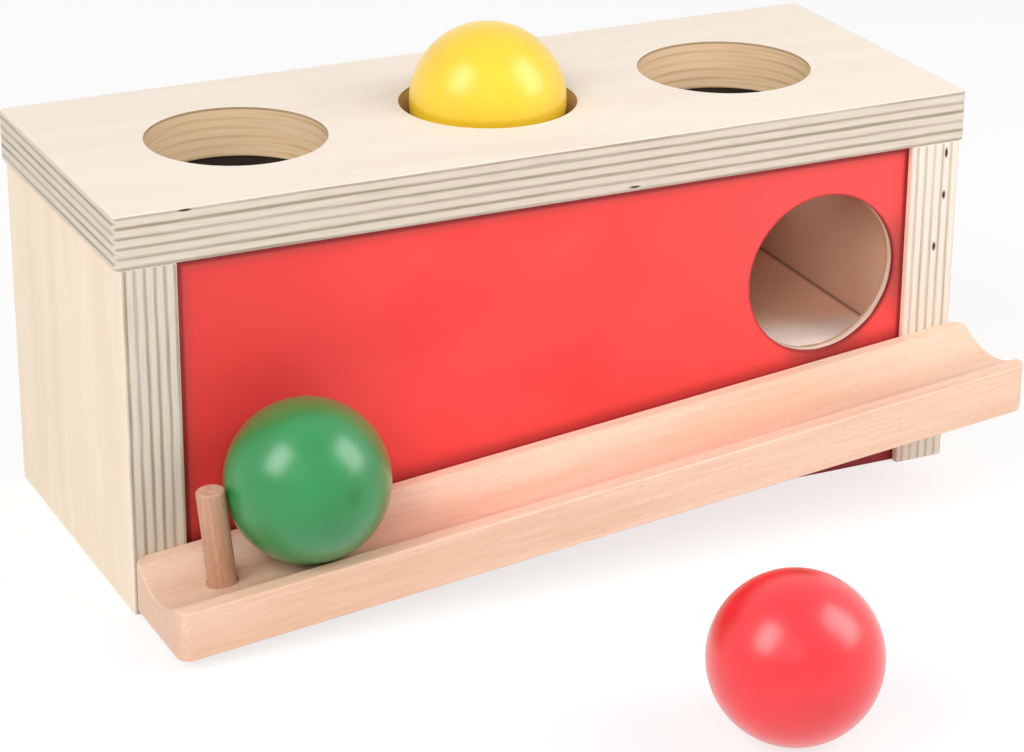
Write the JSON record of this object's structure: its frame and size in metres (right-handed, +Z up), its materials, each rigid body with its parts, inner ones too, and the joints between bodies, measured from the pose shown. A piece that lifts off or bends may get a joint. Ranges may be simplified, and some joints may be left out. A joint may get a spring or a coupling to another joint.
{
  "type": "object permanence box",
  "caption": "Wooden ball drop box: a ball pushed through a hole in the top rolls down a ramp inside, out of a round hole and along a sloping trough to a peg.",
  "frame": {"origin": "on the floor, at the middle of the rectangle that the box, its trough and the loose ball stand in", "axes": "+Z up, +X along the box's length towards the exit hole, +Y from the trough to the back panel"},
  "size_m": [0.289, 0.282, 0.152],
  "materials": {
    "ply_board": "sanded birch plywood, clear matt lacquer",
    "thin_ply": "sanded thin birch plywood, clear matt lacquer",
    "red_ply": "satin red paint on thin plywood",
    "beech": "planed beech, clear matt lacquer",
    "peg_beech": "turned beech dowel",
    "ring_rubber": "matt",
    "screw_steel": "zinc plated",
    "yellow_lacquer": "glossy yellow paint on turned wood",
    "green_lacquer": "glossy green paint on turned wood",
    "red_lacquer": "glossy red paint on turned wood"
  },
  "bodies": {
    "box": {"top_board": "ply_board", "left_side_panel": "ply_board", "right_side_panel": "ply_board", "front_panel": "red_ply", "back_panel": "thin_ply", "ramp_board": "thin_ply", "left_ramp_cleat": "beech", "right_ramp_cleat": "beech", "left_retaining_ring": "ring_rubber", "middle_retaining_ring": "ring_rubber", "right_retaining_ring": "ring_rubber", "ring_screws": "screw_steel", "top_dowels": "beech", "trough": "beech", "trough_dowels": "beech", "stop_peg": "peg_beech"},
    "yellow_ball": {"yellow_ball": "yellow_lacquer"},
    "green_ball": {"green_ball": "green_lacquer"},
    "red_ball": {"red_ball": "red_lacquer"}
  },
  "joints": [
    {"name": "yellow_ball_drop", "type": "slide", "parent": "box", "child": "yellow_ball", "axis": [0, 0, 1], "range_m": [-0.052, 0.045], "deforming": ["middle_retaining_ring"]},
    {"name": "green_ball_roll", "type": "slide", "parent": "box", "child": "green_ball", "axis": [0.995, 0, 0.1001], "range_m": [0, 0.189]},
    {"name": "red_ball_roll", "type": "slide", "parent": "box", "child": "red_ball", "axis": [0, 1, 0], "range_m": [-0.08, 0.08]}
  ]
}
